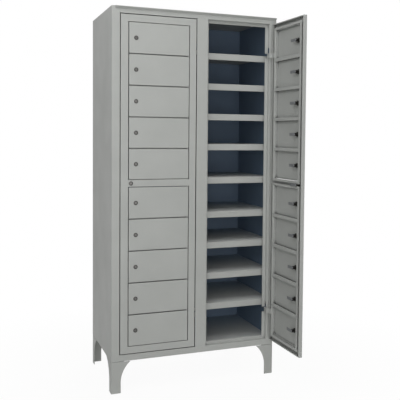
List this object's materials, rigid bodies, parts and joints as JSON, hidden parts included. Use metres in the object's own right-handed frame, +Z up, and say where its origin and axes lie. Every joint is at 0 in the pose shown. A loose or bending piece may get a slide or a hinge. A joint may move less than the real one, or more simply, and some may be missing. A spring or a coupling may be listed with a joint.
{
  "type": "pigeonhole mail sorter",
  "caption": "Free-standing steel pigeonhole cabinet on pressed legs: two columns of compartments, each behind a master door frame with small lockable doors.",
  "frame": {"origin": "on the floor, below the middle of the box that the cabinet and its open right door take up", "axes": "+X towards the hinge side of the doors (the right, seen from the front), +Y from the front face to the back, +Z up"},
  "size_m": [0.828, 0.8106, 1.8],
  "materials": {
    "grey_paint": "light grey oven-baked powder coat, slightly textured",
    "zinc_plate": "bright zinc plate",
    "lock_chrome": "polished nickel-chrome plate on a die-cast lock"
  },
  "bodies": {
    "case": {"side_panel_left": "grey_paint", "side_panel_right": "grey_paint", "centre_post": "grey_paint", "front_rails": "grey_paint", "back_panel": "grey_paint", "base_panel": "grey_paint", "floor_panel": "grey_paint", "top_panel": "grey_paint", "partition": "grey_paint", "shelves_left": "grey_paint", "shelves_right": "grey_paint", "legs": "grey_paint", "leg_bolts": "zinc_plate", "hinge_pins": "zinc_plate"},
    "door_left": {"door_frame_left": "grey_paint", "hinge_straps_left": "grey_paint"},
    "master_lock_left": {"master_lock_left": "lock_chrome"},
    "small_door_left_01": {"small_door_left_01": "grey_paint"},
    "small_lock_left_01": {"small_lock_left_01": "lock_chrome"},
    "small_door_left_02": {"small_door_left_02": "grey_paint"},
    "small_lock_left_02": {"small_lock_left_02": "lock_chrome"},
    "small_door_left_03": {"small_door_left_03": "grey_paint"},
    "small_lock_left_03": {"small_lock_left_03": "lock_chrome"},
    "small_door_left_04": {"small_door_left_04": "grey_paint"},
    "small_lock_left_04": {"small_lock_left_04": "lock_chrome"},
    "small_door_left_05": {"small_door_left_05": "grey_paint"},
    "small_lock_left_05": {"small_lock_left_05": "lock_chrome"},
    "small_door_left_06": {"small_door_left_06": "grey_paint"},
    "small_lock_left_06": {"small_lock_left_06": "lock_chrome"},
    "small_door_left_07": {"small_door_left_07": "grey_paint"},
    "small_lock_left_07": {"small_lock_left_07": "lock_chrome"},
    "small_door_left_08": {"small_door_left_08": "grey_paint"},
    "small_lock_left_08": {"small_lock_left_08": "lock_chrome"},
    "small_door_left_09": {"small_door_left_09": "grey_paint"},
    "small_lock_left_09": {"small_lock_left_09": "lock_chrome"},
    "small_door_left_10": {"small_door_left_10": "grey_paint"},
    "small_lock_left_10": {"small_lock_left_10": "lock_chrome"},
    "door_right": {"door_frame_right": "grey_paint", "hinge_straps_right": "grey_paint"},
    "master_lock_right": {"master_lock_right": "lock_chrome"},
    "small_door_right_01": {"small_door_right_01": "grey_paint"},
    "small_lock_right_01": {"small_lock_right_01": "lock_chrome"},
    "small_door_right_02": {"small_door_right_02": "grey_paint"},
    "small_lock_right_02": {"small_lock_right_02": "lock_chrome"},
    "small_door_right_03": {"small_door_right_03": "grey_paint"},
    "small_lock_right_03": {"small_lock_right_03": "lock_chrome"},
    "small_door_right_04": {"small_door_right_04": "grey_paint"},
    "small_lock_right_04": {"small_lock_right_04": "lock_chrome"},
    "small_door_right_05": {"small_door_right_05": "grey_paint"},
    "small_lock_right_05": {"small_lock_right_05": "lock_chrome"},
    "small_door_right_06": {"small_door_right_06": "grey_paint"},
    "small_lock_right_06": {"small_lock_right_06": "lock_chrome"},
    "small_door_right_07": {"small_door_right_07": "grey_paint"},
    "small_lock_right_07": {"small_lock_right_07": "lock_chrome"},
    "small_door_right_08": {"small_door_right_08": "grey_paint"},
    "small_lock_right_08": {"small_lock_right_08": "lock_chrome"},
    "small_door_right_09": {"small_door_right_09": "grey_paint"},
    "small_lock_right_09": {"small_lock_right_09": "lock_chrome"},
    "small_door_right_10": {"small_door_right_10": "grey_paint"},
    "small_lock_right_10": {"small_lock_right_10": "lock_chrome"}
  },
  "joints": [
    {"name": "door_left_swing", "type": "hinge", "parent": "case", "child": "door_left", "pos_m": [0.015, -0.06668, 0.3175], "axis": [0, 0, 1], "range_deg": [0, 100]},
    {"name": "master_lock_left_turn", "type": "hinge", "parent": "door_left", "child": "master_lock_left", "pos_m": [-0.3235, -0.07468, 0.986], "axis": [0, 1, 0], "range_deg": [0, 180]},
    {"name": "small_door_left_01_swing", "type": "hinge", "parent": "door_left", "child": "small_door_left_01", "pos_m": [-0.047, -0.07068, 0.2918], "axis": [0, 0, 1], "range_deg": [0, 90]},
    {"name": "small_lock_left_01_turn", "type": "hinge", "parent": "small_door_left_01", "child": "small_lock_left_01", "pos_m": [-0.3, -0.07468, 0.2918], "axis": [0, 1, 0], "range_deg": [0, 180]},
    {"name": "small_door_left_02_swing", "type": "hinge", "parent": "door_left", "child": "small_door_left_02", "pos_m": [-0.047, -0.07068, 0.4424], "axis": [0, 0, 1], "range_deg": [0, 90]},
    {"name": "small_lock_left_02_turn", "type": "hinge", "parent": "small_door_left_02", "child": "small_lock_left_02", "pos_m": [-0.3, -0.07468, 0.4424], "axis": [0, 1, 0], "range_deg": [0, 180]},
    {"name": "small_door_left_03_swing", "type": "hinge", "parent": "door_left", "child": "small_door_left_03", "pos_m": [-0.047, -0.07068, 0.593], "axis": [0, 0, 1], "range_deg": [0, 90]},
    {"name": "small_lock_left_03_turn", "type": "hinge", "parent": "small_door_left_03", "child": "small_lock_left_03", "pos_m": [-0.3, -0.07468, 0.593], "axis": [0, 1, 0], "range_deg": [0, 180]},
    {"name": "small_door_left_04_swing", "type": "hinge", "parent": "door_left", "child": "small_door_left_04", "pos_m": [-0.047, -0.07068, 0.7436], "axis": [0, 0, 1], "range_deg": [0, 90]},
    {"name": "small_lock_left_04_turn", "type": "hinge", "parent": "small_door_left_04", "child": "small_lock_left_04", "pos_m": [-0.3, -0.07468, 0.7436], "axis": [0, 1, 0], "range_deg": [0, 180]},
    {"name": "small_door_left_05_swing", "type": "hinge", "parent": "door_left", "child": "small_door_left_05", "pos_m": [-0.047, -0.07068, 0.8942], "axis": [0, 0, 1], "range_deg": [0, 90]},
    {"name": "small_lock_left_05_turn", "type": "hinge", "parent": "small_door_left_05", "child": "small_lock_left_05", "pos_m": [-0.3, -0.07468, 0.8942], "axis": [0, 1, 0], "range_deg": [0, 180]},
    {"name": "small_door_left_06_swing", "type": "hinge", "parent": "door_left", "child": "small_door_left_06", "pos_m": [-0.047, -0.07068, 1.0755], "axis": [0, 0, 1], "range_deg": [0, 90]},
    {"name": "small_lock_left_06_turn", "type": "hinge", "parent": "small_door_left_06", "child": "small_lock_left_06", "pos_m": [-0.3, -0.07468, 1.0755], "axis": [0, 1, 0], "range_deg": [0, 180]},
    {"name": "small_door_left_07_swing", "type": "hinge", "parent": "door_left", "child": "small_door_left_07", "pos_m": [-0.047, -0.07068, 1.2215], "axis": [0, 0, 1], "range_deg": [0, 90]},
    {"name": "small_lock_left_07_turn", "type": "hinge", "parent": "small_door_left_07", "child": "small_lock_left_07", "pos_m": [-0.3, -0.07468, 1.2215], "axis": [0, 1, 0], "range_deg": [0, 180]},
    {"name": "small_door_left_08_swing", "type": "hinge", "parent": "door_left", "child": "small_door_left_08", "pos_m": [-0.047, -0.07068, 1.3675], "axis": [0, 0, 1], "range_deg": [0, 90]},
    {"name": "small_lock_left_08_turn", "type": "hinge", "parent": "small_door_left_08", "child": "small_lock_left_08", "pos_m": [-0.3, -0.07468, 1.3675], "axis": [0, 1, 0], "range_deg": [0, 180]},
    {"name": "small_door_left_09_swing", "type": "hinge", "parent": "door_left", "child": "small_door_left_09", "pos_m": [-0.047, -0.07068, 1.5135], "axis": [0, 0, 1], "range_deg": [0, 90]},
    {"name": "small_lock_left_09_turn", "type": "hinge", "parent": "small_door_left_09", "child": "small_lock_left_09", "pos_m": [-0.3, -0.07468, 1.5135], "axis": [0, 1, 0], "range_deg": [0, 180]},
    {"name": "small_door_left_10_swing", "type": "hinge", "parent": "door_left", "child": "small_door_left_10", "pos_m": [-0.047, -0.07068, 1.6595], "axis": [0, 0, 1], "range_deg": [0, 90]},
    {"name": "small_lock_left_10_turn", "type": "hinge", "parent": "small_door_left_10", "child": "small_lock_left_10", "pos_m": [-0.3, -0.07468, 1.6595], "axis": [0, 1, 0], "range_deg": [0, 180]},
    {"name": "door_right_swing", "type": "hinge", "parent": "case", "child": "door_right", "pos_m": [0.394, -0.06668, 0.3175], "axis": [0, 0, 1], "range_deg": [-91.5, 8.5]},
    {"name": "master_lock_right_turn", "type": "hinge", "parent": "door_right", "child": "master_lock_right", "pos_m": [0.40958, -0.35587, 0.986], "axis": [-0.9997, -0.0262, 0], "range_deg": [0, 180]},
    {"name": "small_door_right_01_swing", "type": "hinge", "parent": "door_right", "child": "small_door_right_01", "pos_m": [0.39962, -0.12855, 0.2918], "axis": [0, 0, 1], "range_deg": [0, 90]},
    {"name": "small_lock_right_01_turn", "type": "hinge", "parent": "small_door_right_01", "child": "small_lock_right_01", "pos_m": [0.40896, -0.33238, 0.2918], "axis": [-0.9997, -0.0262, 0], "range_deg": [0, 180]},
    {"name": "small_door_right_02_swing", "type": "hinge", "parent": "door_right", "child": "small_door_right_02", "pos_m": [0.39962, -0.12855, 0.4424], "axis": [0, 0, 1], "range_deg": [0, 90]},
    {"name": "small_lock_right_02_turn", "type": "hinge", "parent": "small_door_right_02", "child": "small_lock_right_02", "pos_m": [0.40896, -0.33238, 0.4424], "axis": [-0.9997, -0.0262, 0], "range_deg": [0, 180]},
    {"name": "small_door_right_03_swing", "type": "hinge", "parent": "door_right", "child": "small_door_right_03", "pos_m": [0.39962, -0.12855, 0.593], "axis": [0, 0, 1], "range_deg": [0, 90]},
    {"name": "small_lock_right_03_turn", "type": "hinge", "parent": "small_door_right_03", "child": "small_lock_right_03", "pos_m": [0.40896, -0.33238, 0.593], "axis": [-0.9997, -0.0262, 0], "range_deg": [0, 180]},
    {"name": "small_door_right_04_swing", "type": "hinge", "parent": "door_right", "child": "small_door_right_04", "pos_m": [0.39962, -0.12855, 0.7436], "axis": [0, 0, 1], "range_deg": [0, 90]},
    {"name": "small_lock_right_04_turn", "type": "hinge", "parent": "small_door_right_04", "child": "small_lock_right_04", "pos_m": [0.40896, -0.33238, 0.7436], "axis": [-0.9997, -0.0262, 0], "range_deg": [0, 180]},
    {"name": "small_door_right_05_swing", "type": "hinge", "parent": "door_right", "child": "small_door_right_05", "pos_m": [0.39962, -0.12855, 0.8942], "axis": [0, 0, 1], "range_deg": [0, 90]},
    {"name": "small_lock_right_05_turn", "type": "hinge", "parent": "small_door_right_05", "child": "small_lock_right_05", "pos_m": [0.40896, -0.33238, 0.8942], "axis": [-0.9997, -0.0262, 0], "range_deg": [0, 180]},
    {"name": "small_door_right_06_swing", "type": "hinge", "parent": "door_right", "child": "small_door_right_06", "pos_m": [0.39962, -0.12855, 1.0755], "axis": [0, 0, 1], "range_deg": [0, 90]},
    {"name": "small_lock_right_06_turn", "type": "hinge", "parent": "small_door_right_06", "child": "small_lock_right_06", "pos_m": [0.40896, -0.33238, 1.0755], "axis": [-0.9997, -0.0262, 0], "range_deg": [0, 180]},
    {"name": "small_door_right_07_swing", "type": "hinge", "parent": "door_right", "child": "small_door_right_07", "pos_m": [0.39962, -0.12855, 1.2215], "axis": [0, 0, 1], "range_deg": [0, 90]},
    {"name": "small_lock_right_07_turn", "type": "hinge", "parent": "small_door_right_07", "child": "small_lock_right_07", "pos_m": [0.40896, -0.33238, 1.2215], "axis": [-0.9997, -0.0262, 0], "range_deg": [0, 180]},
    {"name": "small_door_right_08_swing", "type": "hinge", "parent": "door_right", "child": "small_door_right_08", "pos_m": [0.39962, -0.12855, 1.3675], "axis": [0, 0, 1], "range_deg": [0, 90]},
    {"name": "small_lock_right_08_turn", "type": "hinge", "parent": "small_door_right_08", "child": "small_lock_right_08", "pos_m": [0.40896, -0.33238, 1.3675], "axis": [-0.9997, -0.0262, 0], "range_deg": [0, 180]},
    {"name": "small_door_right_09_swing", "type": "hinge", "parent": "door_right", "child": "small_door_right_09", "pos_m": [0.39962, -0.12855, 1.5135], "axis": [0, 0, 1], "range_deg": [0, 90]},
    {"name": "small_lock_right_09_turn", "type": "hinge", "parent": "small_door_right_09", "child": "small_lock_right_09", "pos_m": [0.40896, -0.33238, 1.5135], "axis": [-0.9997, -0.0262, 0], "range_deg": [0, 180]},
    {"name": "small_door_right_10_swing", "type": "hinge", "parent": "door_right", "child": "small_door_right_10", "pos_m": [0.39962, -0.12855, 1.6595], "axis": [0, 0, 1], "range_deg": [0, 90]},
    {"name": "small_lock_right_10_turn", "type": "hinge", "parent": "small_door_right_10", "child": "small_lock_right_10", "pos_m": [0.40896, -0.33238, 1.6595], "axis": [-0.9997, -0.0262, 0], "range_deg": [0, 180]}
  ]
}
